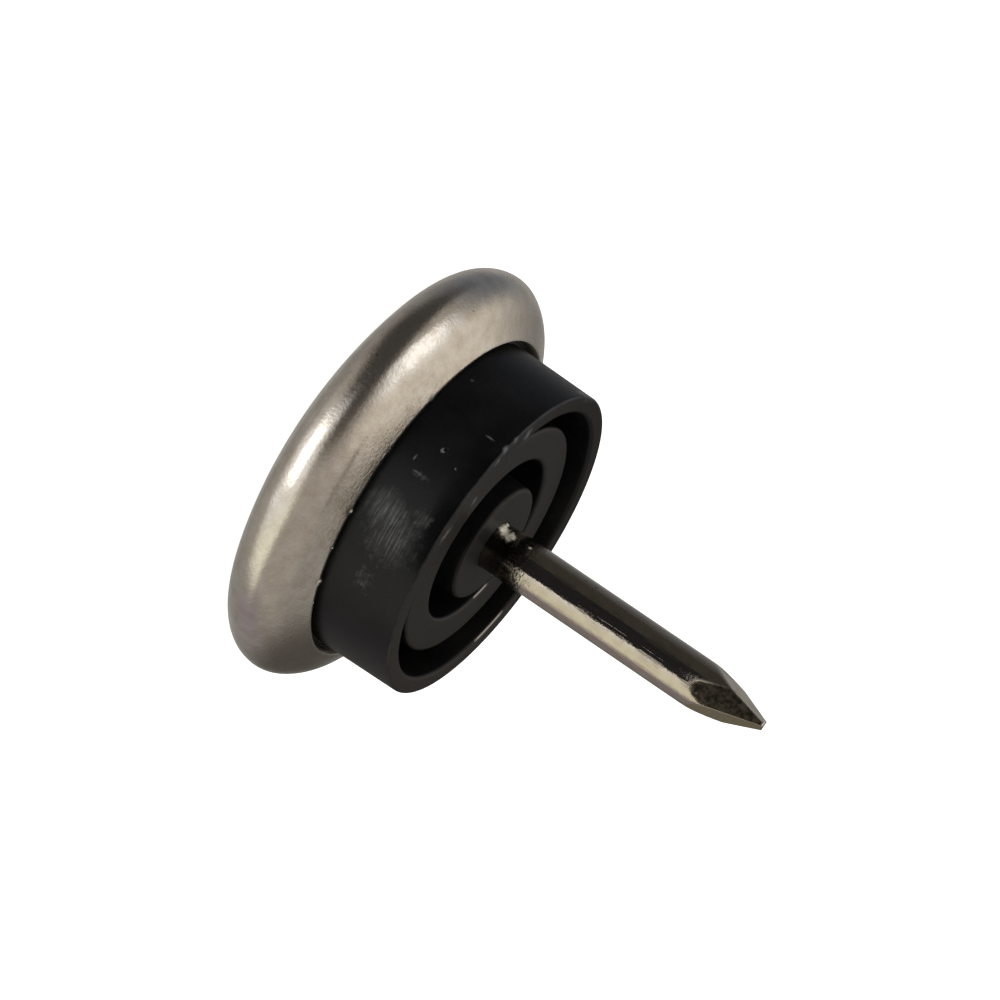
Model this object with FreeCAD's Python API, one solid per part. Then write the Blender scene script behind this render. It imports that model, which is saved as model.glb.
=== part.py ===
import FreeCAD, Part
import math
import os

# A nail-on glide for the foot of a chair or table leg.
# A thin steel cap is rolled over the flange of a black moulded cushion. The nail's
# head is trapped between the two, and its shank stands up through the cushion's hub.
# Lengths are in millimetres and angles in degrees. The origin is the middle of the
# sole, and +Z runs up the nail to its point.

# steel cap
cap_d = 28.6            # over the widest place of the rolled edge
sheet_t = 0.7
sole_flat_d = 8.0       # the sole is flat here and domed outside it
crown_r = 21.5          # dome of the sole, from the flat to the shoulder
shoulder_r = 2.25       # round from the dome up to the widest place
nose_r = 1.8            # tight round just above the widest place
nose_sweep = 28.0
roll_r = 3.3            # flatter round from the nose
roll_end = 60.0         # from here the edge runs straight in to its lip
lip_gap = 0.5           # dark line between the lip and the cushion's wall
lip_break = 0.12        # the lip's outer corner is broken, not sharp

# moulded cushion
glide_h = 12.35         # from the sole to the rim that meets the leg
rim_d = 21.4
rim_t = 1.2
wall_draft = 1.3
outer_groove_w = 1.45
ring_w = 2.35
inner_groove_w = 1.75
ring_drop = 0.7         # the middle ring stands this far below the rim
hub_drop = 0.2          # and the hub this far
web_t = 2.4             # floor of the grooves, over the nail's head
groove_draft = 1.0
rim_round = 0.35
face_round = 0.25

# nail
nail_l = 31.6           # from under the head to the end of the point
shank_d = 3.2
head_d = 7.6
head_t = 1.2
grip_ring_w = 0.6       # ring pressed in by the dies that held the wire for its head,
grip_ring_deep = 0.2    # half of it hidden in the mouth of the hub
point_slope = 14.0      # each facet of the point leans in this much

# Four pinched facets, each as the way it faces round the nail and its distance from
# the axis at the blunt end. They are as uneven as the real point.
point_facets = (
    (-77.5, 0.51),
    (-13.0, 0.15),
    (90.0, 0.45),
    (188.5, 0.28),
)

# fits
flange_fit = 0.05       # between the cushion's flange and the inside of the cap
head_fit = 0.1          # round the nail's head in its recess
shank_fit = 0.05        # round the shank in the hub

rim_r = rim_d / 2
rim_in_r = rim_r - rim_t
ring_out_r = rim_in_r - outer_groove_w
ring_in_r = ring_out_r - ring_w
hub_r = ring_in_r - inner_groove_w
bore_r = shank_d / 2 + shank_fit
recess_r = head_d / 2 + head_fit
head_top_z = sheet_t + head_t
floor_z = head_top_z + web_t
ring_z = glide_h - ring_drop
hub_z = glide_h - hub_drop
tip_z = sheet_t + nail_l


def at(r, z):
    return FreeCAD.Vector(r, 0, z)


def line(start, end):
    return Part.LineSegment(start, end).toShape()


def on_circle(centre, radius, angle):
    turn = math.radians(angle)
    return centre + at(radius * math.cos(turn), radius * math.sin(turn))


def arc(centre, radius, first, last):
    """An arc in the XZ plane, between two angles measured up from +X."""
    ends = [on_circle(centre, radius, a) for a in (first, (first + last) / 2, last)]
    return Part.Arc(*ends).toShape()


def spin(edges):
    """One full turn about the axis of a closed section."""
    section = Part.Face(Part.Wire(edges))
    return section.revolve(at(0, 0), at(0, 1), 360)


def rounded_path(corners):
    """Lines through (r, z, round) corners, each corner eased by its own round."""
    spots = [at(r, z) for r, z, _ in corners]
    edges = []
    start = spots[0]
    for before, spot, after, corner in zip(spots, spots[1:], spots[2:], corners[1:]):
        ease = corner[2]
        if ease == 0:
            edges.append(line(start, spot))
            start = spot
            continue
        back = (before - spot).normalize()
        on = (after - spot).normalize()
        half = back.getAngle(on) / 2
        reach = ease / math.tan(half)
        middle = spot + (back + on).normalize() * (ease / math.sin(half) - ease)
        edges.append(line(start, spot + back * reach))
        start = spot + on * reach
        edges.append(Part.Arc(spot + back * reach, middle, start).toShape())
    edges.append(line(start, spots[-1]))
    return edges


def wall_r(z):
    """The cushion's wall widens downwards from the rim, for its mould."""
    return rim_r + (glide_h - z) * math.tan(math.radians(wall_draft))


# The cap's section is four arcs, each tangent to the next (dome, shoulder, nose, roll), and the
# straight run from the roll to the lip.
dome_c = at(sole_flat_d / 2, crown_r)
shoulder_x = cap_d / 2 - shoulder_r
widest_z = crown_r - math.sqrt((crown_r - shoulder_r) ** 2 - (shoulder_x - dome_c.x) ** 2)
shoulder_c = at(shoulder_x, widest_z)
nose_c = at(cap_d / 2 - nose_r, widest_z)
roll_c = on_circle(nose_c, nose_r - roll_r, nose_sweep)
dome_end = math.degrees(math.atan2(widest_z - crown_r, shoulder_x - dome_c.x))
run_out = at(math.cos(math.radians(roll_end)), math.sin(math.radians(roll_end)))
run_along = at(-run_out.z, run_out.x)


def near_wall(inset, gap):
    """The point of the straight run, moved inwards, that is a gap away from the cushion's wall."""
    start = on_circle(roll_c, roll_r - inset, roll_end)
    narrowing = math.tan(math.radians(wall_draft))
    length = (start.x - wall_r(start.z) - gap) / (run_out.z - run_out.x * narrowing)
    return start + run_along * length


def cap_face(inset, end):
    """The cap's outer face, moved inwards, as far as a point of the straight run."""
    return [
        arc(dome_c, crown_r - inset, -90, dome_end),
        arc(shoulder_c, shoulder_r - inset, dome_end, 0),
        arc(nose_c, nose_r - inset, 0, nose_sweep),
        arc(roll_c, roll_r - inset, nose_sweep, roll_end),
        line(on_circle(roll_c, roll_r - inset, roll_end), end),
    ]


def glide_cap():
    """The domed sole and the edge that is rolled in over the cushion's flange."""
    corner = near_wall(0, lip_gap)
    lip_from = corner - run_along * lip_break
    lip_to = corner - run_out * lip_break
    lip_under = corner - run_out * sheet_t
    outside = cap_face(0, lip_from)
    inside = cap_face(sheet_t, lip_under)
    lip = [line(lip_from, lip_to), line(lip_to, lip_under)]
    middle = [
        line(at(sole_flat_d / 2, sheet_t), at(0, sheet_t)),
        line(at(0, sheet_t), at(0, 0)),
        line(at(0, 0), at(sole_flat_d / 2, 0)),
    ]
    return spin(middle + outside + lip + inside)


def cushion():
    """The moulding: flange, drafted wall, two deep grooves with a ring between, and the hub."""
    inset = sheet_t + flange_fit
    wall_foot = near_wall(inset, 0)
    flange = cap_face(inset, wall_foot)

    narrowing = math.tan(math.radians(groove_draft))
    deep = (glide_h - floor_z) * narrowing
    face = rounded_path([
        (wall_foot.x, wall_foot.z, 0),
        (rim_r, glide_h, rim_round),
        (rim_in_r, glide_h, face_round),
        (rim_in_r - deep, floor_z, 0),
        (ring_out_r + deep, floor_z, 0),
        (ring_out_r + ring_drop * narrowing, ring_z, face_round),
        (ring_in_r - ring_drop * narrowing, ring_z, face_round),
        (ring_in_r - deep, floor_z, 0),
        (hub_r + deep, floor_z, 0),
        (hub_r + hub_drop * narrowing, hub_z, face_round),
        (bore_r, hub_z, 0),
        (bore_r, head_top_z, 0),
        (recess_r, head_top_z, 0),
        (recess_r, inset, 0),
        (dome_c.x, inset, 0),
    ])
    return spin(flange + face)


def pinched_off(turn, end_gap):
    """What one jaw takes off the point: all that lies outside its leaning facet."""
    length = shank_d / math.sin(math.radians(point_slope))
    block = Part.makeBox(shank_d, 2 * shank_d, 2 * length, FreeCAD.Vector(0, -shank_d, -length))
    block.rotate(at(0, 0), FreeCAD.Vector(0, 1, 0), -point_slope)
    block.translate(at(end_gap, tip_z))
    block.rotate(at(0, 0), at(0, 1), turn)
    return block


def nail():
    """A flat head under the cushion, the neck that the hub grips, and the pointed shank."""
    shank_r = shank_d / 2
    ring_r = shank_r - grip_ring_deep
    ring_from = hub_z - grip_ring_w / 2
    ring_to = hub_z + grip_ring_w / 2
    wire = rounded_path([
        (0, tip_z, 0),
        (0, sheet_t, 0),
        (head_d / 2, sheet_t, 0),
        (head_d / 2, head_top_z, 0),
        (shank_r, head_top_z, 0),
        (shank_r, ring_from, 0),
        (ring_r, ring_from + grip_ring_deep, 0),
        (ring_r, ring_to - grip_ring_deep, 0),
        (shank_r, ring_to, 0),
        (shank_r, tip_z, 0),
        (0, tip_z, 0),
    ])
    return spin(wire).cut([pinched_off(turn, end_gap) for turn, end_gap in point_facets])


os.makedirs("parts", exist_ok=True)
for name, make in (("glide_cap", glide_cap), ("cushion", cushion), ("nail", nail)):
    solid = make()
    solid.exportStep(f"parts/{name}.step")
    box = solid.BoundBox
    print(name, "volume", round(solid.Volume, 1), "mm3, from", round(box.ZMin, 2), "to", round(box.ZMax, 2))
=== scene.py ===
import math

import bmesh
import bpy
import numpy as np
from mathutils import Matrix, Vector


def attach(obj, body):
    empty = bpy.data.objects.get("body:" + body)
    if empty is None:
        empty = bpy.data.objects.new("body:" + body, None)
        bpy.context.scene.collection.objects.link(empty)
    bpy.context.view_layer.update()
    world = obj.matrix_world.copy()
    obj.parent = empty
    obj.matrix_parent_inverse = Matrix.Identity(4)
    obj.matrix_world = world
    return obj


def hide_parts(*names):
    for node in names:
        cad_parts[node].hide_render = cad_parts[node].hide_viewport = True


# Nail-on glide for a furniture leg: satin nickel cap, black moulded cushion, bright nail.
# The part stands on its cap with the nail up. Lengths in the dictionaries are in mm, and gridMesh and
# metres turn them into metres.

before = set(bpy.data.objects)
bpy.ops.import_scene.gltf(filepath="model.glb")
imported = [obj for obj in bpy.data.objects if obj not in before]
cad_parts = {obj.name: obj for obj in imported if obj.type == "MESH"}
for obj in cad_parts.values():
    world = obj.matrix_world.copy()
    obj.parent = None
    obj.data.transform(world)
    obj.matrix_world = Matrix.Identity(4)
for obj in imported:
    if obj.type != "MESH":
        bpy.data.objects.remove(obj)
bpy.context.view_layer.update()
print("frame loaded:", sorted(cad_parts))

mm = 0.001


def metres(point):
    return tuple(value * mm for value in point)


# helpers for profiles, each a list of (r, z) points in mm

def arcPath(centre, radius, start, end, count):
    # centre + radius * (cos a, sin a), the angle a running evenly from start to end in degrees
    a = np.radians(np.linspace(start, end, count))
    return np.stack([centre[0] + radius * np.cos(a), centre[1] + radius * np.sin(a)], axis=1)


def linePath(start, end, count):
    # straight mix of the two ends, t from 0 to 1
    t = np.linspace(0, 1, count)[:, None]
    return (1 - t) * np.array(start, float) + t * np.array(end, float)


roundSteps = 9          # points on each rounded corner


def roundedPath(corners, step):
    # straight runs between (r, z, round) corners, each corner replaced by the arc tangent to both runs
    spots = np.array([c[:2] for c in corners], float)
    rows = []
    begin = spots[0]
    for before, spot, after, corner in zip(spots, spots[1:], spots[2:], corners[1:]):
        back = (before - spot) / np.linalg.norm(before - spot)
        onward = (after - spot) / np.linalg.norm(after - spot)
        half = math.acos(float(np.clip(back @ onward, -1, 1))) / 2
        reach = corner[2] / math.tan(half)
        stop = spot + back * reach
        rows.append(linePath(begin, stop, max(2, int(np.linalg.norm(stop - begin) / step) + 1)))
        begin = spot + onward * reach
        if corner[2] > 0:
            centre = spot + (back + onward) / np.linalg.norm(back + onward) * (corner[2] / math.sin(half))
            first, last = stop - centre, begin - centre
            a0 = math.degrees(math.atan2(first[1], first[0]))
            sweep = (math.degrees(math.atan2(last[1], last[0])) - a0 + 180) % 360 - 180
            rows.append(arcPath(centre, corner[2], a0, a0 + sweep, roundSteps)[1:-1])
    rows.append(linePath(begin, spots[-1], max(2, int(np.linalg.norm(spots[-1] - begin) / step) + 1)))
    return np.concatenate(rows)


mergeGap = 2e-7         # metres; points closer than this are one


def gridMesh(name, points, sharpAngle):
    # points[i, j] is the surface at step i along the profile and step j round the axis; j wraps round
    rows, columns = points.shape[:2]
    i, j = np.meshgrid(np.arange(rows - 1), np.arange(columns), indexing="ij")
    k = (j + 1) % columns
    quads = np.stack([i * columns + j, i * columns + k, (i + 1) * columns + k, (i + 1) * columns + j], axis=-1)
    mesh = bpy.data.meshes.new(name)
    mesh.from_pydata((points.reshape(-1, 3) * mm).tolist(), [], quads.reshape(-1, 4).tolist())
    work = bmesh.new()
    work.from_mesh(mesh)
    bmesh.ops.remove_doubles(work, verts=work.verts, dist=mergeGap)     # closes the poles
    bmesh.ops.recalc_face_normals(work, faces=work.faces)
    work.to_mesh(mesh)
    work.free()
    mesh.shade_smooth()
    mesh.set_sharp_from_angle(angle=math.radians(sharpAngle))
    piece = bpy.data.objects.new(name, mesh)
    bpy.context.scene.collection.objects.link(piece)
    return piece


def revolved(profile, columns):
    # S(v, u) = (r(v) cos u, r(v) sin u, z(v))
    u = np.arange(columns) * 2 * math.pi / columns
    r, z = profile[:, 0, None], profile[:, 1, None]
    return np.stack([r * np.cos(u), r * np.sin(u), z + 0 * u], axis=-1)


def nudge(points, spot, size, push):
    # p + push * exp(-|p - spot|^2 / size^2)
    near = np.exp(-np.sum((points - np.array(spot)) ** 2, axis=-1) / size ** 2)
    return points + near[..., None] * np.array(push)


# cap: the section is four tangent arcs (dome, shoulder, nose, roll) and a straight run to the lip; its
# inner face lies one sheet further in

capShape = {
    "across": 28.6,
    "sheet": 0.7,
    "soleFlat": 8.0,
    "crown": 21.5,
    "shoulder": 2.25,
    "nose": 1.8,
    "noseSweep": 28.0,
    "roll": 3.3,
    "rollEnd": 60.0,
    "lipBreak": 0.12,
    "lipBend": 0.3,         # how far the broken corner bulges, as a share of the break
    "lipGap": 0.5,          # dark line between lip and cushion wall
    "columns": 640,
    "outerSteps": (18, 24, 12, 24, 18),
    "innerSteps": (8, 8, 4, 8, 4),
    "sharpAngle": 30,
    "burrLift": 0.3,        # how far a burr rises, as a share of its push
    # torn bits of the lip: turn, size, push
    "burrs": (
        (-74.5, 0.24, 0.2),
        (-47.5, 0.26, 0.26),
        (-61.0, 0.16, 0.1),
        (-96.0, 0.18, 0.1),
        (-117.0, 0.2, 0.12),
    ),
}

wallShape = {"height": 12.35, "rim": 21.4, "draft": 1.3}


def wallRadius(z):
    # the cushion's wall widens downwards by its draft
    return wallShape["rim"] / 2 + (wallShape["height"] - z) * math.tan(math.radians(wallShape["draft"]))


def capArcs(c):
    # centres of the four arcs, the angle at which the dome ends, and the ways out of and along the run
    flat = c["soleFlat"] / 2
    shoulderX = c["across"] / 2 - c["shoulder"]
    widest = c["crown"] - math.sqrt((c["crown"] - c["shoulder"]) ** 2 - (shoulderX - flat) ** 2)
    noseX = c["across"] / 2 - c["nose"]
    turn, end = math.radians(c["noseSweep"]), math.radians(c["rollEnd"])
    back = c["nose"] - c["roll"]
    return {
        "dome": (flat, c["crown"]),
        "shoulder": (shoulderX, widest),
        "nose": (noseX, widest),
        "roll": (noseX + back * math.cos(turn), widest + back * math.sin(turn)),
        "domeEnd": math.degrees(math.atan2(widest - c["crown"], shoulderX - flat)),
        "runOut": np.array([math.cos(end), math.sin(end)]),
        "runAlong": np.array([-math.sin(end), math.cos(end)]),
    }


def nearWall(c, arcs, inset, gap):
    # the point of the straight run, moved in by inset, that is a gap away from the cushion's wall
    start = arcPath(arcs["roll"], c["roll"] - inset, c["rollEnd"], c["rollEnd"], 1)[0]
    narrowing = math.tan(math.radians(wallShape["draft"]))
    length = (start[0] - wallRadius(start[1]) - gap) / (arcs["runOut"][1] - arcs["runOut"][0] * narrowing)
    return start + arcs["runAlong"] * length


def capSkin(c, arcs, inset, end, counts):
    # the four arcs and the run, all moved in by inset, from the sole's flat to a point of the run
    roll = arcPath(arcs["roll"], c["roll"] - inset, c["noseSweep"], c["rollEnd"], counts[3])
    return np.concatenate([
        arcPath(arcs["dome"], c["crown"] - inset, -90, arcs["domeEnd"], counts[0]),
        arcPath(arcs["shoulder"], c["shoulder"] - inset, arcs["domeEnd"], 0, counts[1])[1:],
        arcPath(arcs["nose"], c["nose"] - inset, 0, c["noseSweep"], counts[2])[1:],
        roll[1:],
        linePath(roll[-1], end, counts[4])[1:],
    ])


def buildCap(c):
    arcs = capArcs(c)
    corner = nearWall(c, arcs, 0, c["lipGap"])
    reach = c["lipBreak"]
    lipFrom, lipTo = corner - arcs["runAlong"] * reach, corner - arcs["runOut"] * reach
    lipMid = corner - (arcs["runAlong"] + arcs["runOut"]) * (reach * c["lipBend"])
    lipUnder = corner - arcs["runOut"] * c["sheet"]
    outside = capSkin(c, arcs, 0, lipFrom, c["outerSteps"])
    inside = capSkin(c, arcs, c["sheet"], lipUnder, c["innerSteps"])
    profile = np.concatenate([
        [(0, 0)],
        linePath((c["soleFlat"] / 4, 0), outside[0], 3)[:-1],
        outside,
        [lipMid, lipTo, (lipTo + lipUnder) / 2],
        inside[::-1],
        [(0, c["sheet"])],
    ])
    points = revolved(profile, c["columns"])
    for turn, size, push in c["burrs"]:      # torn bits of the lip that reach for the wall
        way = np.array([math.cos(math.radians(turn)), math.sin(math.radians(turn)), 0])
        spot = way * lipMid[0] + np.array([0, 0, lipMid[1]])
        points = nudge(points, spot, size, way * -push + np.array([0, 0, push * c["burrLift"]]))
    return gridMesh("cap", points, c["sharpAngle"])


cap = buildCap(capShape)
print("cap:", len(cap.data.polygons), "faces")


# cushion: flange in the cap, drafted wall, rim, two grooves with a ring between, hub

cushionShape = {
    "rimThick": 1.2,
    "outerGroove": 1.45,
    "ring": 2.35,
    "innerGroove": 1.75,
    "ringDrop": 0.7,
    "hubDrop": 0.2,
    "web": 2.4,
    "grooveDraft": 1.0,
    "rimRound": 0.16,
    "faceRound": 0.25,
    "flangeFit": 0.05,
    "shankFit": 0.01,       # the hub hugs the wire
    "headFit": 0.1,
    "columns": 336,
    "step": 0.25,
    "sharpAngle": 30,
}

nailShape = {
    "long": 31.6,
    "shank": 3.2,
    "head": 7.6,
    "headThick": 1.2,
    "headRound": 0.15,
    # the dies' mark just above the hub: half its length, its depth, the side it is on and its half turn
    "gripRing": 0.42,
    "gripDeep": 0.22,
    "gripTurn": -146.0,
    "gripSpread": 0.5,
    "gripRest": 0.05,       # share of the depth away from that side
    "gripWaves": ((0.06, 5, 0.7), (0.04, 11, 2.1)),     # its uneven ends: height, waves round, phase
    # facets of the point: direction, distance at the tip, slope
    "facets": (
        (-77.5, 0.51, 14.0),
        (-13.0, 0.12, 17.8),
        (90.0, 0.45, 15.0),
        (188.5, 0.32, 16.8),
    ),
    "edgePower": 36.0,      # larger is a crisper edge between the facets
    "pointLong": 6.2,       # length that gets the finest rows
    "rows": (40, 40, 150),          # at the dies' mark, on the shank and on the point
    "rowGaps": (0.03, 0.3, 0.05),   # before the first row of each
    "step": 0.3,
    "columns": 320,
    "sharpAngle": 32,
}


def buildCushion(c):
    arcs = capArcs(capShape)
    inset = capShape["sheet"] + c["flangeFit"]
    wallFoot = nearWall(capShape, arcs, inset, 0)
    flange = capSkin(capShape, arcs, inset, wallFoot, capShape["innerSteps"])
    top = wallShape["height"]
    rim = wallShape["rim"] / 2
    rimIn = rim - c["rimThick"]
    ringOut = rimIn - c["outerGroove"]
    ringIn = ringOut - c["ring"]
    hub = ringIn - c["innerGroove"]
    headTop = capShape["sheet"] + nailShape["headThick"]
    floor = headTop + c["web"]
    lean = math.tan(math.radians(c["grooveDraft"]))
    deep = (top - floor) * lean
    bore = nailShape["shank"] / 2 + c["shankFit"]
    recess = nailShape["head"] / 2 + c["headFit"]
    ringTop, hubTop = top - c["ringDrop"], top - c["hubDrop"]
    face = roundedPath([
        (wallFoot[0], wallFoot[1], 0),
        (rim, top, c["rimRound"]),
        (rimIn, top, c["faceRound"]),
        (rimIn - deep, floor, 0),
        (ringOut + deep, floor, 0),
        (ringOut + c["ringDrop"] * lean, ringTop, c["faceRound"]),
        (ringIn - c["ringDrop"] * lean, ringTop, c["faceRound"]),
        (ringIn - deep, floor, 0),
        (hub + deep, floor, 0),
        (hub + c["hubDrop"] * lean, hubTop, c["faceRound"]),
        (bore, hubTop, 0),
        (bore, headTop, 0),
        (recess, headTop, 0),
        (recess, inset, 0),
        (arcs["dome"][0], inset, 0),
    ], c["step"])
    profile = np.concatenate([flange, face[1:]])
    return gridMesh("cushionMoulding", revolved(profile, c["columns"]), c["sharpAngle"])


cushion = buildCushion(cushionShape)
print("cushion:", len(cushion.data.polygons), "faces")


# nail: head, neck, the dies' mark at the hub's mouth, shank and its four pinched facets

def shankRadius(c, u, z):
    # 1/r^p = sum of 1/rk^p, where rk is the wire's radius and each facet's distance over the cosine
    # of the angle to it; a facet leans in by its slope, so its distance grows down from the tip
    tip = capShape["sheet"] + c["long"]
    total = (2 / c["shank"]) ** c["edgePower"] + 0 * (u * z)
    for direction, endGap, slope in c["facets"]:
        towards = np.maximum(np.cos(u - math.radians(direction)), 1e-6)
        total = total + (towards / (endGap + (tip - z) * math.tan(math.radians(slope)))) ** c["edgePower"]
    return total ** (-1 / c["edgePower"])


def gripDip(c, u, above):
    # depth * share(u) * (1 + cos(pi * h)) / 2: h runs from -1 to 1 over the ring, and the share is most on
    # the side where the dies bit, exp(-(turn from there)^2), and little elsewhere
    wander = sum(high * np.sin(waves * u + phase) for high, waves, phase in c["gripWaves"])
    turn = (u - math.radians(c["gripTurn"]) + math.pi) % (2 * math.pi) - math.pi
    share = c["gripRest"] + (1 - c["gripRest"]) * np.exp(-(turn / c["gripSpread"]) ** 2)
    h = np.clip((above - wander) / c["gripRing"] - 1, -1, 1)
    return c["gripDeep"] * share * (1 + np.cos(math.pi * h)) / 2


def buildNail(c):
    u = np.arange(c["columns"])[None, :] * 2 * math.pi / c["columns"]
    bottom = capShape["sheet"]
    headTop = bottom + c["headThick"]
    tip = bottom + c["long"]
    hubTop = wallShape["height"] - cushionShape["hubDrop"]
    wire = c["shank"] / 2
    lower = roundedPath([
        (0, bottom, 0),
        (c["head"] / 2, bottom, c["headRound"]),
        (c["head"] / 2, headTop, c["headRound"]),
        (wire, headTop, 0),
        (wire, hubTop - c["gripRing"], 0),
    ], c["step"])
    below = revolved(lower, c["columns"])
    markTop, pointFoot = hubTop + 2 * c["gripRing"], tip - c["pointLong"]
    starts, ends = (hubTop - c["gripRing"], markTop, pointFoot), (markTop, pointFoot, tip)
    z = np.concatenate([
        np.linspace(start + gap, end, count)
        for start, gap, end, count in zip(starts, c["rowGaps"], ends, c["rows"])
    ])[:, None]
    r = shankRadius(c, u, z) - gripDip(c, u, z - hubTop)
    above = np.stack([r * np.cos(u), r * np.sin(u), z + 0 * u], axis=-1)
    centre = np.zeros((1, c["columns"], 3)) + np.array([0, 0, tip])
    return gridMesh("nailBody", np.concatenate([below, above, centre]), c["sharpAngle"])


nail = buildNail(nailShape)
print("nail:", len(nail.data.polygons), "faces")


# shader helpers

class Shader:
    # adds nodes to one material or group by short calls

    def __init__(self, tree):
        self.tree = tree

    def add(self, kind, inputs=None, **settings):
        node = self.tree.nodes.new(kind)
        for key, value in settings.items():
            setattr(node, key, value)
        for key, value in (inputs or {}).items():
            if isinstance(value, bpy.types.NodeSocket):
                self.tree.links.new(value, node.inputs[key])
            else:
                node.inputs[key].default_value = value
        return node

    def math(self, operation, *values, clamp=False):
        given = dict(enumerate(values))
        return self.add("ShaderNodeMath", given, operation=operation, use_clamp=clamp).outputs[0]

    def effect(self, name, inputs):
        node = self.tree.nodes.new("ShaderNodeGroup")
        node.node_tree = effects[name]
        for label, value in inputs.items():
            if isinstance(value, bpy.types.NodeSocket):
                self.tree.links.new(value, node.inputs[label])
            else:
                node.inputs[label].default_value = value
        return node.outputs

    def noise(self, vector, scale, detail=4.0, roughness=0.6):
        given = {"Vector": vector, "Scale": scale, "Detail": detail, "Roughness": roughness}
        return self.add("ShaderNodeTexNoise", given).outputs["Fac"]

    def remap(self, value, low, high):
        # 0 at low and 1 at high, and held there outside them
        given = {"Value": value, "From Min": low, "From Max": high}
        return self.add("ShaderNodeMapRange", given).outputs["Result"]

    def product(self, *values):
        # all the values multiplied together
        result = values[0]
        for value in values[1:]:
            result = self.math("MULTIPLY", result, value)
        return result

    def split(self, vector):
        return self.add("ShaderNodeSeparateXYZ", {0: vector}).outputs

    def combine(self, operation, a, b):
        # one vector out of two, axis by axis
        return self.add("ShaderNodeVectorMath", {0: a, 1: b}, operation=operation).outputs[0]

    def towards(self, vector, way):
        # how far the vector reaches the given way
        return self.add("ShaderNodeVectorMath", {0: vector, 1: way}, operation="DOT_PRODUCT").outputs["Value"]

    def diagonal(self, x, y):
        # sqrt(x^2 + y^2)
        return self.math("SQRT", self.math("ADD", self.math("POWER", x, 2.0), self.math("POWER", y, 2.0)))

    def mix(self, factor, a, b, how="MIX"):
        node = self.add("ShaderNodeMix", data_type="RGBA", blend_type=how)
        for index, value in ((0, factor), (6, a), (7, b)):
            if isinstance(value, bpy.types.NodeSocket):
                self.tree.links.new(value, node.inputs[index])
            else:
                node.inputs[index].default_value = value
        return node.outputs[2]

    def mark(self, where, centre, size, breakup, edge):
        # the shared mark, centre and size in mm; a single size serves all three axes
        sizes = size if isinstance(size, tuple) else (size, size, size)
        return self.effect("mark", {
            "Vector": where, "Centre": metres(centre), "Size": metres(sizes), "Breakup": breakup, "Edge": edge,
        })["Mask"]

    def wearAndSheenCircle(self, where, radius, level, width, gain, breakup):
        # the shared circle of wear and painted sheen along an edge, lengths in mm
        return self.effect("circle", {
            "Vector": where, "Radius": radius * mm, "Height": level * mm, "Width": width * mm,
            "Gain": gain, "Breakup": breakup,
        })["Mask"]


def newMaterial(name):
    material = bpy.data.materials.new(name)
    material.use_nodes = True
    material.node_tree.nodes.clear()
    return material, Shader(material.node_tree)


def newGroup(name, inputs, outputs):
    # a shader group with named sockets: inputs as {name: default}, outputs as names
    tree = bpy.data.node_groups.new(name, "ShaderNodeTree")
    for label, value in inputs.items():
        kind = "NodeSocketVector" if isinstance(value, tuple) else "NodeSocketFloat"
        tree.interface.new_socket(name=label, in_out="INPUT", socket_type=kind).default_value = value
    for label in outputs:
        tree.interface.new_socket(name=label, in_out="OUTPUT", socket_type="NodeSocketFloat")
    s = Shader(tree)
    return tree, s, s.add("NodeGroupInput").outputs


def finishMaterial(shader, surface):
    shader.add("ShaderNodeOutputMaterial", {"Surface": surface})


def finishPiece(s, colour, rough, height, bump, others):
    # a Principled surface with the height as fine relief; bump is its strength and its distance in metres
    relief = s.add("ShaderNodeBump", {"Strength": bump[0], "Distance": bump[1], "Height": height})
    surface = s.add("ShaderNodeBsdfPrincipled", {
        "Base Color": colour, "Roughness": rough, "Normal": relief.outputs[0], **others,
    })
    finishMaterial(s, surface.outputs[0])


# effects shared by the materials

# scale, detail and roughness of the noises inside them
effectNoise = {
    "hairLine": (1.0, 3.0),
    "hairShare": (900.0, 3.0),
    "mark": (2600.0, 4.0),
    "circle": (700.0, 5.0, 0.7),
}


def fineGrainGroup():
    # speckle and cloud are two noises about 0.5:
    # Roughness = Base + Spread * (speckle + cloud - 1), Height = 0.75 * speckle + 0.25 * cloud
    tree, s, given = newGroup("fineGrain", {
        "Vector": (0.0, 0.0, 0.0), "Speckle Scale": 9000.0, "Cloud Scale": 500.0, "Base": 0.3, "Spread": 0.1,
    }, ("Roughness", "Height", "Cloud"))
    speckle = s.noise(given["Vector"], given["Speckle Scale"], 2.0)
    cloud = s.noise(given["Vector"], given["Cloud Scale"], 5.0)
    both = s.math("SUBTRACT", s.math("ADD", speckle, cloud), 1.0)
    rough = s.math("MULTIPLY_ADD", both, given["Spread"], given["Base"])
    height = s.math("ADD", s.math("MULTIPLY", speckle, 0.75), s.math("MULTIPLY", cloud, 0.25))
    s.add("NodeGroupOutput", {"Roughness": rough, "Height": height, "Cloud": cloud})
    return tree


def hairScratchGroup():
    # 1 where a noise of the stretched vector is 0.5, falling to 0 where it is Width away from that, and
    # only where a second, coarser noise plus Share is above 0.9
    tree, s, given = newGroup("hairScratches", {
        "Vector": (0.0, 0.0, 0.0), "Stretch": (100.0, 100.0, 4000.0), "Width": 0.02, "Share": 0.5,
    }, ("Mask",))
    along = s.combine("MULTIPLY", given["Vector"], given["Stretch"])
    line = s.math("ABSOLUTE", s.math("SUBTRACT", s.noise(along, *effectNoise["hairLine"]), 0.5))
    hair = s.math("SUBTRACT", 1.0, s.math("MINIMUM", s.math("DIVIDE", line, given["Width"]), 1.0))
    where = s.noise(given["Vector"], *effectNoise["hairShare"])
    # 6 * (noise + Share) - 5.4, held between 0 and 1
    kept = s.math("SUBTRACT", s.math("MULTIPLY", s.math("ADD", where, given["Share"]), 6.0), 5.4, clamp=True)
    s.add("NodeGroupOutput", {"Mask": s.math("MULTIPLY", hair, kept)})
    return tree


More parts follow.
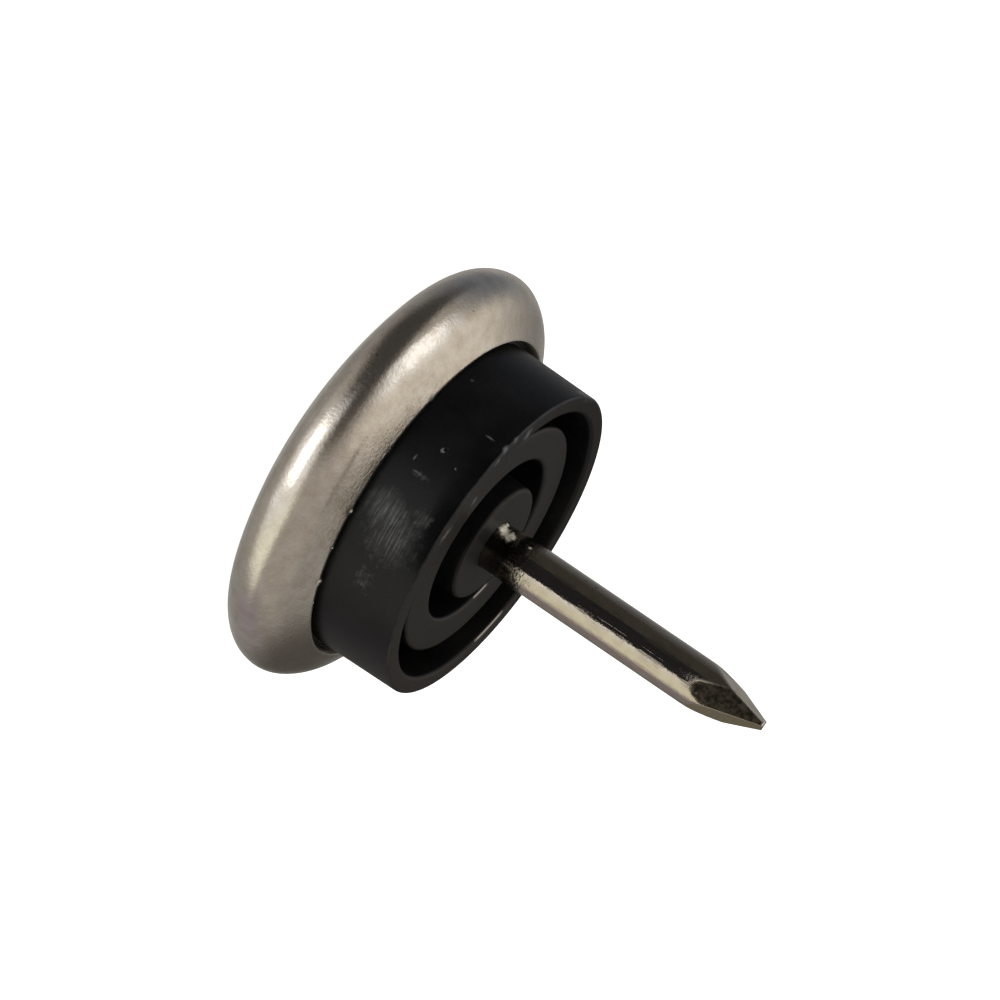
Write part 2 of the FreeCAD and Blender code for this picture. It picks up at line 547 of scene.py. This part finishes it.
def markGroup():
    # (1 - distance from Centre, counted in Size along each axis, - Breakup * noise) * Edge
    tree, s, given = newGroup("markAt", {
        "Vector": (0.0, 0.0, 0.0), "Centre": (0.0, 0.0, 0.0), "Size": (0.001, 0.001, 0.001),
        "Breakup": 0.5, "Edge": 2.0,
    }, ("Mask",))
    scaled = s.combine("DIVIDE", s.combine("SUBTRACT", given["Vector"], given["Centre"]), given["Size"])
    away = s.add("ShaderNodeVectorMath", {0: scaled}, operation="LENGTH").outputs["Value"]
    broken = s.math("MULTIPLY", s.noise(given["Vector"], *effectNoise["mark"]), given["Breakup"])
    left = s.math("SUBTRACT", s.math("SUBTRACT", 1.0, away), broken)
    s.add("NodeGroupOutput", {"Mask": s.math("MULTIPLY", left, given["Edge"], clamp=True)})
    return tree


def circleWearAndSheenGroup():
    # round the circle of Radius at Height: (1 - distance / Width) * Gain - Breakup * noise
    tree, s, given = newGroup("circleWearAndSheen", {
        "Vector": (0.0, 0.0, 0.0), "Radius": 0.01, "Height": 0.01, "Width": 0.0002, "Gain": 2.0, "Breakup": 1.5,
    }, ("Mask",))
    axes = s.split(given["Vector"])
    dr = s.math("SUBTRACT", s.diagonal(axes[0], axes[1]), given["Radius"])
    dz = s.math("SUBTRACT", axes[2], given["Height"])
    away = s.math("DIVIDE", s.diagonal(dr, dz), given["Width"])
    wearAndSheen = s.math("MULTIPLY", s.math("SUBTRACT", 1.0, s.math("MINIMUM", away, 1.0)), given["Gain"])
    broken = s.math("MULTIPLY", s.noise(given["Vector"], *effectNoise["circle"]), given["Breakup"])
    s.add("NodeGroupOutput", {"Mask": s.math("SUBTRACT", wearAndSheen, broken, clamp=True)})
    return tree


def speckGroup():
    # 1 within Size of a cell's point, in the cells whose random value is under Share
    tree, s, given = newGroup("dustSpecks", {
        "Vector": (0.0, 0.0, 0.0), "Scale": 900.0, "Size": 0.12, "Share": 0.1,
    }, ("Mask",))
    cells = s.add("ShaderNodeTexVoronoi", {"Vector": given["Vector"], "Scale": given["Scale"]})
    chance = s.add("ShaderNodeSeparateColor", {0: cells.outputs["Color"]}).outputs[0]
    chosen = s.math("LESS_THAN", chance, given["Share"])
    near = s.math("LESS_THAN", cells.outputs["Distance"], given["Size"])
    s.add("NodeGroupOutput", {"Mask": s.math("MULTIPLY", near, chosen)})
    return tree


effects = {
    "grain": fineGrainGroup(),
    "hair": hairScratchGroup(),
    "mark": markGroup(),
    "circle": circleWearAndSheenGroup(),
    "speck": speckGroup(),
}
print("shared effects:", sorted(effects))


# satin nickel plate on the cap

capFinish = {
    "base": (0.73, 0.68, 0.605, 1),
    "dull": (0.60, 0.54, 0.46, 1),
    # the lip's paler tone is a painted glint along its edge
    "lipTone": (0.80, 0.77, 0.72, 1),
    "fleck": (0.25, 0.22, 0.18, 1),
    "rawAndGlint": (0.62, 0.57, 0.46, 1),
    "grain": {"Speckle Scale": 5000.0, "Cloud Scale": 900.0, "Base": 0.215, "Spread": 0.16},
    "hair": {"Stretch": (900.0, 900.0, 260.0), "Width": 0.012, "Share": 0.42},
    "flecks": {"Scale": 1100.0, "Size": 0.1, "Share": 0.08},
    "fleckStrength": 0.5,
    "tarnish": (0.38, 0.62),        # levels between which bright turns to dull
    "cloudShare": 0.7,              # of the tarnish; the fine speckle has the rest
    "scratched": 0.08,              # roughness that a hair scratch adds, and its depth
    # where the painted glint runs along the lip
    "lip": (11.38, 6.98, 0.25, 2.2, 2.2),       # radius, height, width, gain, breakup
    # raw bits of the lip, painted pale as bare metal with a painted glint: centre and size
    "burrs": (
        ((7.62, -8.45, 7.0), 0.2),
        ((3.05, -10.95, 7.0), 0.17),
        ((8.9, -7.05, 7.0), 0.1),
        ((5.5, -9.95, 7.0), 0.09),
    ),
    "burrEdge": (0.5, 4.0),         # breakup and edge
    "bump": (0.5, 0.00003),
}


def satinNickel(c):
    # tarnish = cloudShare * cloud + (1 - cloudShare) * height turns base to dull; flecks, a painted glint along
    # the lip and the raw burrs, painted pale as bare metal with a painted glint, are laid over it in turn
    material, s = newMaterial("satinNickel")
    where = s.add("ShaderNodeTexCoord").outputs["Object"]
    grain = s.effect("grain", {"Vector": where, **c["grain"]})
    hair = s.effect("hair", {"Vector": where, **c["hair"]})["Mask"]
    lip = s.wearAndSheenCircle(where, *c["lip"])
    fleck = s.effect("speck", {"Vector": where, **c["flecks"]})["Mask"]
    cloud = s.math("MULTIPLY", grain["Cloud"], c["cloudShare"])
    tarnish = s.math("ADD", cloud, s.math("MULTIPLY", grain["Height"], 1 - c["cloudShare"]))
    colour = s.mix(s.remap(tarnish, *c["tarnish"]), c["base"], c["dull"])
    colour = s.mix(s.product(fleck, c["fleckStrength"]), colour, c["fleck"])
    # painted glint along the lip
    colour = s.mix(lip, colour, c["lipTone"])
    rough = s.math("MULTIPLY_ADD", hair, c["scratched"], grain["Roughness"])
    height = s.math("SUBTRACT", grain["Height"], s.math("MULTIPLY", hair, c["scratched"]))
    metal = 1.0
    for centre, size in c["burrs"]:          # painted pale and not metallic: bare metal with a painted glint
        rawAndGlint = s.mark(where, centre, size, *c["burrEdge"])
        colour = s.mix(rawAndGlint, colour, c["rawAndGlint"])
        metal = s.math("SUBTRACT", metal, rawAndGlint, clamp=True)
    finishPiece(s, colour, rough, height, c["bump"], {"Metallic": metal})
    return material


# black moulding, scuffed on the wall that faces the lens

mouldingFinish = {
    "base": (0.003, 0.003, 0.0032, 1),
    "hazed": (0.008, 0.008, 0.0078, 1),
    "haze": (0.42, 0.75),                   # cloud levels between which it sets in
    "face": (0.0195, 0.0190, 0.0182, 1),    # the upward faces that meet the leg, painted paler as painted light
    "faceTilt": (0.7, 0.95),                # upward part of the normal where that sets in
    "faceFrom": (10.5, 11.3),               # and the height
    "farSide": (-0.918, 0.397, 0),          # the way that points up and right in the picture, where the rim is left dark as painted shade: how far that way, and from what radius
    "farFrom": (0.0, 8.0),                  # rim stays dark: how far that way
    "rimFrom": (9.0, 9.4),                  # and from what radius
    "scuffed": (0.105, 0.109, 0.098, 1),
    "scratched": (0.24, 0.245, 0.235, 1),
    # pale tone for wear and flecks, and for the painted highlights on pits, spots and edges
    "wearAndSheen": (0.15, 0.15, 0.142, 1),
    "glint": (0.42, 0.41, 0.38, 1),
    # painted shade in the pits' holes
    "pit": (0.002, 0.002, 0.002, 1),
    "lowSide": (0.981, 0.194, 0),           # the way that points down in the picture
    "tintOver": (-10.0, 10.0),
    "coolTint": (0.92, 0.97, 1.14, 1),      # at its top
    "warmTint": (1.12, 1.0, 0.84, 1),       # and at its foot
    "grain": {"Speckle Scale": 5200.0, "Cloud Scale": 330.0, "Base": 0.42, "Spread": 0.14},
    "hair": {"Stretch": (190.0, 190.0, 4600.0), "Width": 0.05, "Share": 0.66},
    "flecks": {"Scale": 800.0, "Size": 0.09, "Share": 0.07},
    "fleckStrength": 0.3,
    # scuffs on the wall: centre and half size, then how strongly noise breaks it
    "scuffs": (
        ((1.7, -10.6, 8.5), (1.9, 1.4, 1.9), 0.5),
        ((1.1, -10.7, 10.9), (1.5, 1.2, 1.2), 0.9),
        ((3.0, -10.3, 9.8), (3.7, 2.2, 3.3), 0.85),
        ((6.0, -8.9, 9.4), (3.0, 2.4, 2.4), 1.45),
        ((-1.0, -10.7, 9.2), (0.5, 0.6, 1.5), 1.0),
    ),
    "scuffEdge": 0.9,
    "scuffStrength": (0.7, 0.9),            # of the patch and of its scratches
    "scuffRelief": (0.12, -0.8),            # roughness that a patch adds, and the height of its scratches
    # pits: centre of the hole, painted dark as painted shade, centre of the painted highlight on its lower side,
    # and size
    "pits": (
        ((-3.09, -10.31, 9.53), (-2.98, -10.34, 9.42), 0.3),
        ((-2.525, -10.43, 10.79), (-2.48, -10.44, 10.74), 0.13),
    ),
    "pitShare": 0.7,                        # the hole's size as a share of the painted highlight's
    "pitEdges": ((0.8, 4.0), (0.5, 4.0)),   # breakup and edge of the painted highlight and of the hole
    "pitRelief": -3.0,                      # the hole's height
    # scrapes and worn spots, and one painted highlight on the wall's top edge: centre and half size
    "spots": (
        ((-6.6, -7.6, 12.35), (1.1, 0.8, 0.3)),
        ((-5.9, -8.8, 12.3), (0.7, 0.4, 0.3)),
        ((-5.05, -9.35, 12.25), (0.8, 0.4, 0.4)),
        ((-4.2, -9.5, 12.35), (0.9, 0.35, 0.35)),
        ((1.1, -9.9, 12.35), (1.6, 0.5, 0.4)),
        ((-1.5, -6.75, 11.65), (0.9, 0.5, 0.2)),
        ((-5.14, -9.4, 11.1), (0.16, 0.3, 0.95)),
        ((-1.06, -10.7, 9.0), (0.14, 0.3, 0.85)),
        ((-1.7, -10.6, 8.3), (0.5, 0.3, 0.14)),
        # a painted highlight along the wall's top edge
        ((-10.5, -1.4, 12.0), (1.2, 2.9, 0.8)),
    ),
    "spotEdge": (1.0, 2.5),
    "spotStrength": 0.8,
    # edges painted paler with wear and painted sheen: radius, height, width and strength
    "edges": (
        (10.68, 12.3, 0.2, 0.3),
        (9.52, 12.33, 0.16, 0.4),
        (8.0, 11.62, 0.14, 0.3),
        (5.75, 11.62, 0.14, 0.4),
    ),
    "edgeWearAndSheen": (1.7, 1.9),                 # gain and breakup
    # bright glints on two edges: radius, height, and the middle and half length of the stretch
    "glints": (
        (9.56, 12.3, (4.5, 8.45, 12.3), 1.8),
        (5.74, 11.6, (2.9, 4.95, 11.6), 0.9),
    ),
    "glintBand": (0.09, 3.0, 0.6),          # width, gain and breakup
    "glintEnds": (0.3, 4.0),                # breakup and edge of the stretch
    "bump": (0.4, 0.00003),
    "specular": 0.25,
}


def blackMoulding(c):
    # haze, the upward faces painted paler as painted light (the rim's far side left in painted shade), scuffs
    # with scratches, pits with a hole in painted shade and a painted highlight, spots (one a painted highlight),
    # edges with wear and painted sheen, painted glints and flecks are laid over the base in turn, and the whole
    # is tinted from cool to warm down the picture
    material, s = newMaterial("blackMoulding")
    coords = s.add("ShaderNodeTexCoord").outputs
    where = coords["Object"]
    grain = s.effect("grain", {"Vector": where, **c["grain"]})
    hair = s.effect("hair", {"Vector": where, **c["hair"]})["Mask"]
    fleck = s.effect("speck", {"Vector": where, **c["flecks"]})["Mask"]
    colour = s.mix(s.remap(grain["Cloud"], *c["haze"]), c["base"], c["hazed"])
    # upward faces near the top are painted paler as painted light, and the rim's far side is left dark as
    # painted shade
    upward = s.remap(s.split(coords["Normal"])[2], *c["faceTilt"])
    axes = s.split(where)
    high = s.remap(axes[2], *metres(c["faceFrom"]))
    far = s.remap(s.towards(where, c["farSide"]), *metres(c["farFrom"]))
    onRim = s.remap(s.diagonal(axes[0], axes[1]), *metres(c["rimFrom"]))
    lit = s.math("SUBTRACT", 1.0, s.product(far, onRim))
    colour = s.mix(s.product(upward, high, lit), colour, c["face"])
    rough = grain["Roughness"]
    height = grain["Height"]
    patchStrength, scratchStrength = c["scuffStrength"]
    patchRough, scratchRelief = c["scuffRelief"]
    for centre, size, breakup in c["scuffs"]:
        patch = s.mark(where, centre, size, breakup, c["scuffEdge"])
        scratch = s.product(hair, patch)
        colour = s.mix(s.product(patch, patchStrength), colour, c["scuffed"])
        colour = s.mix(s.product(scratch, scratchStrength), colour, c["scratched"])
        rough = s.math("MULTIPLY_ADD", patch, patchRough, rough)
        height = s.math("MULTIPLY_ADD", scratch, scratchRelief, height)
    rimEdge, holeEdge = c["pitEdges"]
    for centre, edge, size in c["pits"]:
        # a painted highlight on the pit's lower edge and painted shade in its hole
        rim = s.mark(where, edge, size, *rimEdge)
        hole = s.mark(where, centre, size * c["pitShare"], *holeEdge)
        colour = s.mix(rim, colour, c["wearAndSheen"])
        colour = s.mix(hole, colour, c["pit"])
        height = s.math("MULTIPLY_ADD", hole, c["pitRelief"], height)
    # worn spots, one of them a painted highlight on the wall's top edge
    for centre, size in c["spots"]:
        spot = s.mark(where, centre, size, *c["spotEdge"])
        colour = s.mix(s.product(spot, c["spotStrength"]), colour, c["wearAndSheen"])
    # edges painted paler: wear and painted sheen
    for radius, level, width, strength in c["edges"]:
        wearAndSheen = s.wearAndSheenCircle(where, radius, level, width, *c["edgeWearAndSheen"])
        colour = s.mix(s.product(wearAndSheen, strength), colour, c["wearAndSheen"])
    for radius, level, centre, reach in c["glints"]:
        edge = s.wearAndSheenCircle(where, radius, level, *c["glintBand"])
        stretch = s.mark(where, centre, reach, *c["glintEnds"])
        colour = s.mix(s.product(edge, stretch), colour, c["glint"])
    colour = s.mix(s.product(fleck, c["fleckStrength"]), colour, c["wearAndSheen"])
    low = s.remap(s.towards(where, c["lowSide"]), *metres(c["tintOver"]))
    colour = s.mix(1.0, colour, s.mix(low, c["coolTint"], c["warmTint"]), "MULTIPLY")
    finishPiece(s, colour, rough, height, c["bump"], {"Specular IOR Level": c["specular"]})
    return material


# bright plate on the drawn wire of the nail

nailFinish = {
    "base": (0.56, 0.50, 0.40, 1),
    "dull": (0.47, 0.41, 0.32, 1),
    "paintedHighlight": (0.87, 0.81, 0.64, 1),
    # dark tone for the painted shade at the root, the mottled facet and the flecks
    "darkSpecksAndShade": (0.03, 0.027, 0.025, 1),
    # a painted yellowish sheen on one facet of the point
    "sheenFacetTone": (0.23, 0.19, 0.11, 1),
    "grain": {"Speckle Scale": 5200.0, "Cloud Scale": 900.0, "Base": 0.12, "Spread": 0.1},
    "drawn": {"Stretch": (4200.0, 4200.0, 130.0), "Width": 0.06, "Share": 0.5},     # drawing marks
    "flecks": {"Scale": 1500.0, "Size": 0.12, "Share": 0.08},
    "tarnish": (0.4, 0.75),         # cloud levels between which bright turns to dull
    "drawnStrength": 0.3,
    "drawnRelief": (0.08, -0.35),   # roughness that a mark adds, and its height
    # painted shade at the root, where the shank enters the hub: centre and half size, breakup and edge
    "root": ((0.3, -0.9, 12.3), (2.6, 2.6, 1.75), 0.12, 6.0),
    "rootStrength": 0.85,
    # two facets of the point, as direction and slope: one carries a painted yellowish sheen, one is mottled
    "sheenFacet": (-13.0, 17.8),
    "sheenFacetDull": 0.8,               # taken off its metallic value
    "mottled": (-77.5, 14.0),
    "pointFrom": 26.0,
    "facing": (0.975, 0.99),        # how nearly the normal has to be the facet's
    "mottling": (0.42, 0.60),       # noise levels between which the mottled facet blackens
    "mottlingScale": 2800.0,
    "mottlingStrength": 0.7,
    "fleckStrength": 0.6,
    "fleckRelief": 0.6,
    # painted highlights, pale and not metallic: centre, size, and how far the spot is dull and not metallic
    "spots": (
        ((-1.05, -0.95, 12.45), 1.0, 0.8),
        ((-0.95, -1.25, 12.95), 1.0, 0.9),
        ((-1.45, -0.45, 12.3), 0.35, 0.3),
        ((-1.05, -1.2, 14.5), 0.26, 0.5),
        ((-1.46, -0.6, 26.8), 0.12, 0.5),
        ((-0.18, 0.0, 32.36), 0.5, 1.0),
    ),
    "spotEdge": (0.9, 3.0),
    "spotRelief": (0.35, 0.8),      # roughness that a spot adds, and its height
    "bump": (0.55, 0.00002),
}


def onFacet(s, normal, facet, limits):
    # normal . (cos turn cos slope, sin turn cos slope, sin slope), from 0 at the lower limit to 1 at the upper
    turn, slope = (math.radians(angle) for angle in facet)
    way = (math.cos(turn) * math.cos(slope), math.sin(turn) * math.cos(slope), math.sin(slope))
    return s.remap(s.towards(normal, way), *limits)


def brightPlate(c):
    # tarnish, drawing marks, painted shade at the root, the two facets, one with a painted sheen, flecks and
    # painted highlights are laid over the base in turn
    material, s = newMaterial("brightPlate")
    coords = s.add("ShaderNodeTexCoord").outputs
    where = coords["Object"]
    grain = s.effect("grain", {"Vector": where, **c["grain"]})
    drawn = s.effect("hair", {"Vector": where, **c["drawn"]})["Mask"]
    fleck = s.effect("speck", {"Vector": where, **c["flecks"]})["Mask"]
    colour = s.mix(s.remap(grain["Cloud"], *c["tarnish"]), c["base"], c["dull"])
    colour = s.mix(s.product(drawn, c["drawnStrength"]), colour, c["dull"])
    drawnRough, drawnRelief = c["drawnRelief"]
    rough = s.math("MULTIPLY_ADD", drawn, drawnRough, grain["Roughness"])
    height = s.math("MULTIPLY_ADD", drawn, drawnRelief, grain["Height"])
    # painted shade at the root
    root = s.mark(where, *c["root"])
    colour = s.mix(s.product(root, c["rootStrength"]), colour, c["darkSpecksAndShade"])
    pointed = s.math("GREATER_THAN", s.split(where)[2], c["pointFrom"] * mm)
    sheenFacet = s.product(pointed, onFacet(s, coords["Normal"], c["sheenFacet"], c["facing"]))
    mottled = s.product(pointed, onFacet(s, coords["Normal"], c["mottled"], c["facing"]))
    # painted sheen on one facet of the point
    colour = s.mix(sheenFacet, colour, c["sheenFacetTone"])
    speckle = s.remap(s.noise(where, c["mottlingScale"]), *c["mottling"])
    colour = s.mix(s.product(mottled, speckle, c["mottlingStrength"]), colour, c["darkSpecksAndShade"])
    colour = s.mix(s.product(fleck, c["fleckStrength"]), colour, c["darkSpecksAndShade"])
    metal = s.math("MULTIPLY_ADD", sheenFacet, -c["sheenFacetDull"], 1.0)
    spotRough, spotRelief = c["spotRelief"]
    # painted highlights at the root, on the shank and at the tip
    for centre, size, dullness in c["spots"]:
        spot = s.mark(where, centre, size, *c["spotEdge"])
        colour = s.mix(spot, colour, c["paintedHighlight"])
        rough = s.math("MULTIPLY_ADD", spot, spotRough, rough)
        height = s.math("MULTIPLY_ADD", spot, spotRelief, height)
        metal = s.math("SUBTRACT", metal, s.product(spot, dullness), clamp=True)
    height = s.math("MULTIPLY_ADD", fleck, c["fleckRelief"], height)
    finishPiece(s, colour, rough, height, c["bump"], {"Metallic": metal})
    return material


for piece, node, slot, material in (
    (cap, "glide_cap", "plated_cap", satinNickel(capFinish)),
    (cushion, "cushion", "black_moulding", blackMoulding(mouldingFinish)),
    (nail, "nail", "plated_nail", brightPlate(nailFinish)),
):
    piece.data.materials.append(material)
    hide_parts(node)
    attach(piece, "root")
print("materials placed")


# camera: the nail runs to the lower right and leans towards the lens

lens = {
    "lean": 34.1,                   # degrees that the nail runs down from the picture's right
    "tilt": 17.0,                   # degrees that it leans towards the lens
    "aimHeight": 12.25,             # this point of the axis
    "aimPixel": (495.5, 545.4),     # is seen here
    "distance": 350.0,
    "pixelsPerMm": 16.49,
    "picture": 1000,
    "sensor": 36.0,
    "clip": (0.01, 10),             # metres
}


def placeCamera(c):
    lean, tilt = math.radians(c["lean"]), math.radians(c["tilt"])
    right = Vector((-math.sin(lean), math.sin(tilt) * math.cos(lean), math.cos(lean) * math.cos(tilt)))
    down = Vector((math.cos(lean), math.sin(tilt) * math.sin(lean), math.sin(lean) * math.cos(tilt)))
    ahead = Vector((0, math.cos(tilt), -math.sin(tilt)))
    middle = c["picture"] / 2
    aim = Vector((0, 0, c["aimHeight"]))
    across = (c["aimPixel"][0] - middle) / c["pixelsPerMm"]
    below = (c["aimPixel"][1] - middle) / c["pixelsPerMm"]
    spot = (aim - right * across - down * below - ahead * c["distance"]) * mm
    data = bpy.data.cameras.new("camera")
    data.sensor_width = c["sensor"]
    data.lens = c["sensor"] * c["pixelsPerMm"] * c["distance"] / c["picture"]
    data.clip_start, data.clip_end = c["clip"]
    camera = bpy.data.objects.new("camera", data)
    bpy.context.scene.collection.objects.link(camera)
    camera.matrix_world = Matrix((
        (right.x, -down.x, -ahead.x, spot.x),
        (right.y, -down.y, -ahead.y, spot.y),
        (right.z, -down.z, -ahead.z, spot.z),
        (0, 0, 0, 1),
    ))
    bpy.context.scene.camera = camera
    return right, down, ahead


lensAxes = placeCamera(lens)
print("camera placed")


# studio: a pale floor, a white surround for the lens and for reflections, soft lamps

# half width and level in metres
studioFloor = {"half": 1.5, "level": -0.0001, "colour": (0.82, 0.82, 0.82, 1), "glow": 0.85}


def squareMesh(name, corners):
    # one face through four corners, given in metres
    mesh = bpy.data.meshes.new(name)
    mesh.from_pydata(corners, [], [(0, 1, 2, 3)])
    card = bpy.data.objects.new(name, mesh)
    bpy.context.scene.collection.objects.link(card)
    return card


def buildFloor(c):
    half = c["half"]
    corners = [(half * i, half * j, c["level"]) for i, j in ((-1, -1), (1, -1), (1, 1), (-1, 1))]
    floor = squareMesh("studioFloor", corners)
    material, s = newMaterial("paleFloor")
    path = s.add("ShaderNodeLightPath").outputs
    mirrored = s.math("MAXIMUM", path["Is Glossy Ray"], path["Is Transmission Ray"])
    seen = s.math("MAXIMUM", path["Is Camera Ray"], mirrored)
    diffuse = s.add("ShaderNodeBsdfDiffuse", {"Color": c["colour"]})
    glow = s.add("ShaderNodeEmission", {"Color": (1, 1, 1, 1), "Strength": s.math("MULTIPLY", seen, c["glow"])})
    surface = s.add("ShaderNodeAddShader", {0: diffuse.outputs[0], 1: glow.outputs[0]})
    finishMaterial(s, surface.outputs[0])
    floor.data.materials.append(material)
    floor.visible_glossy = False      # the metal mirrors the white surround in its place


# grey tent that only mirrored rays meet; each patch is placed as seen round the lens: clock angle
# (0 right, 90 up in the picture), angle off the lens, half width and half height as sines, softness
tent = {
    "radius": 500.0,
    "columns": 144,
    "rows": 72,
    "poleGap": 0.02,        # radians left open at either pole
    "sharpAngle": 180,      # none of it is sharp
    "grey": (0.42, 0.39, 0.36),
    "patches": (
        ((0, 180, 0.92, 0.92, 0.25), (0.30, 0.295, 0.29)),          # far side
        ((110, 170, 0.50, 0.42, 0.6), (0.40, 0.39, 0.37)),          # paler in its middle
        ((58, 122, 0.50, 0.38, 0.5), (0.175, 0.19, 0.225)),         # its cool corner, high at the right
        ((298, 144, 0.50, 0.42, 0.5), (0.085, 0.078, 0.07)),        # its dark corner, low in the picture
        ((236, 108, 0.35, 0.30, 0.6), (0.30, 0.265, 0.30)),         # dim corner, low at the left
        ((352, 84, 0.42, 0.66, 0.4), (0.78, 0.73, 0.66)),           # pale wall
        ((214, 61, 0.36, 0.50, 0.35), (0.97, 0.96, 0.83)),          # warm wall
        ((60, 12, 0.42, 0.36, 0.5), (0.12, 0.11, 0.10)),            # round the lens
        ((86, 62, 0.50, 0.77, 0.28), (0.058, 0.0545, 0.0525)),      # dark ceiling
    ),
    # openings, through which the metal mirrors the white surround
    "windows": ((170, 50, 0.47, 0.54, 0.3), (14, 66, 0.27, 0.38, 0.35)),
}


def patchMask(directions, patch, axes):
    # 1 inside a rounded square |x|^4 + |y|^4 < 1 about the patch's centre and 0 outside it, eased by
    # t*t*(3-2t) over the soft edge
    right, down, ahead = axes
    clock, off, halfWide, halfTall, soft = patch
    clock, off = math.radians(clock), math.radians(off)
    radial = right * math.cos(clock) - down * math.sin(clock)
    centre = radial * math.sin(off) - ahead * math.cos(off)
    tall = radial * math.cos(off) + ahead * math.sin(off)
    wide = centre.cross(tall)
    x, y = directions @ np.array(wide) / halfWide, directions @ np.array(tall) / halfTall
    spread = (x ** 4 + y ** 4) ** 0.25
    t = np.clip((1 + soft - spread) / (2 * soft), 0, 1)
    return t * t * (3 - 2 * t) * (directions @ np.array(centre) > 0)


def mirrorOnly(piece):
    # the lens, the floor's shadow and the lamps' light on the part take no notice of a card
    piece.visible_camera = False
    piece.visible_diffuse = False
    piece.visible_shadow = False
    piece.visible_volume_scatter = False


def buildTent(c, axes):
    # S(v, u) = radius * (sin v cos u, sin v sin u, cos v), with colour and cover painted by the patches
    v = np.linspace(c["poleGap"], math.pi - c["poleGap"], c["rows"])[:, None]
    u = np.arange(c["columns"])[None, :] * 2 * math.pi / c["columns"]
    directions = np.stack([np.sin(v) * np.cos(u), np.sin(v) * np.sin(u), np.cos(v) + 0 * u], axis=-1)
    shell = gridMesh("greyTent", directions * c["radius"], c["sharpAngle"])
    count = len(shell.data.vertices)
    spots = np.empty(count * 3)
    shell.data.vertices.foreach_get("co", spots)
    spots = spots.reshape(-1, 3)
    spots = spots / np.linalg.norm(spots, axis=1)[:, None]
    colour = np.zeros((count, 3)) + np.array(c["grey"])
    for patch, tone in c["patches"]:
        mask = patchMask(spots, patch, axes)[:, None]
        colour = mask * np.array(tone) + (1 - mask) * colour
    cover = 1 - np.max([patchMask(spots, patch, axes) for patch in c["windows"]], axis=0)[:, None]
    paint = np.concatenate([colour, cover], axis=1)
    layer = shell.data.attributes.new("tentPaint", "FLOAT_COLOR", "POINT")
    layer.data.foreach_set("color", paint.ravel())
    material, s = newMaterial("greyTent")
    painted = s.add("ShaderNodeAttribute", attribute_name="tentPaint")
    glow = s.add("ShaderNodeEmission", {"Color": painted.outputs["Color"]})
    opening = s.add("ShaderNodeBsdfTransparent")
    surface = s.add("ShaderNodeMixShader", {
        0: painted.outputs["Alpha"], 1: opening.outputs[0], 2: glow.outputs[0],
    })
    finishMaterial(s, surface.outputs[0])
    shell.data.materials.append(material)
    mirrorOnly(shell)


# small dark cards near the nail, as (centre, the way it faces, width, height, tone): one that darkens
# the shank's side towards the lens, and one for the facet of the point that looks at the lens
flags = {
    "shankFlag": ((-1.5, -12.2, 17.9), (0, 1, 0), 14.5, 14.6, (0.022, 0.022, 0.027)),
    "pointFlag": ((4.5, -11.3, 32.3), (-0.41, 0.89, -0.18), 14.0, 14.0, (0.062, 0.058, 0.050)),
}


def buildFlag(name, centre, facing, width, height, tone):
    # corners at centre +- across * width / 2 +- rise * height / 2, in the order that turns its face along facing
    facing = Vector(facing).normalized()
    across = facing.cross(Vector((0, 0, 1))).normalized()
    rise = across.cross(facing)
    card = squareMesh(name, [
        (Vector(centre) + across * (width / 2 * i) + rise * (height / 2 * j)) * mm
        for i, j in ((-1, -1), (-1, 1), (1, 1), (1, -1))
    ])
    material, s = newMaterial(name)
    behind = s.add("ShaderNodeNewGeometry").outputs["Backfacing"]      # rays from behind pass through
    glow = s.add("ShaderNodeEmission", {"Color": (*tone, 1)})
    clear = s.add("ShaderNodeBsdfTransparent")
    surface = s.add("ShaderNodeMixShader", {0: behind, 1: glow.outputs[0], 2: clear.outputs[0]})
    finishMaterial(s, surface.outputs[0])
    card.data.materials.append(material)
    mirrorOnly(card)


def whiteSurround(strength):
    # 1 for rays from the lens and for mirrored rays, and strength for the light on the part
    world = bpy.data.worlds.new("studioSurround")
    bpy.context.scene.world = world
    world.use_nodes = True
    world.node_tree.nodes.clear()
    s = Shader(world.node_tree)
    path = s.add("ShaderNodeLightPath").outputs
    mirrored = s.math("MAXIMUM", path["Is Glossy Ray"], path["Is Transmission Ray"])
    level = s.math("MAXIMUM", s.math("MAXIMUM", path["Is Camera Ray"], mirrored), strength)
    glow = s.add("ShaderNodeBackground", {"Color": (1, 1, 1, 1), "Strength": level})
    s.add("ShaderNodeOutputWorld", {"Surface": glow.outputs[0]})


# lamps as (clock angle, angle off the lens, size in metres, glow)
lamps = {
    "keyLamp": (162, 50, 0.26, 1.6),
    "rimLamp": (19, 66, 0.22, 0.6),
}
lampDistance = 0.48     # metres
surroundLight = 0.65


def softBox(name, clock, off, size, glow, axes):
    # a square lamp near a window, facing the part; its power is glow * pi * size^2
    right, down, ahead = axes
    clock, off = math.radians(clock), math.radians(off)
    away = (right * math.cos(clock) - down * math.sin(clock)) * math.sin(off) - ahead * math.cos(off)
    data = bpy.data.lights.new(name, "AREA")
    data.shape = "SQUARE"
    data.size = size
    data.energy = glow * math.pi * size ** 2
    lamp = bpy.data.objects.new(name, data)
    bpy.context.scene.collection.objects.link(lamp)
    lamp.location = away * lampDistance
    lamp.rotation_mode = "QUATERNION"
    lamp.rotation_quaternion = away.to_track_quat("Z", "Y")


buildFloor(studioFloor)
whiteSurround(surroundLight)
buildTent(tent, lensAxes)
for name, flag in flags.items():
    buildFlag(name, *flag)
for name, lamp in lamps.items():
    softBox(name, *lamp, lensAxes)
print("studio built")

bpy.context.scene.view_settings.view_transform = "Standard"
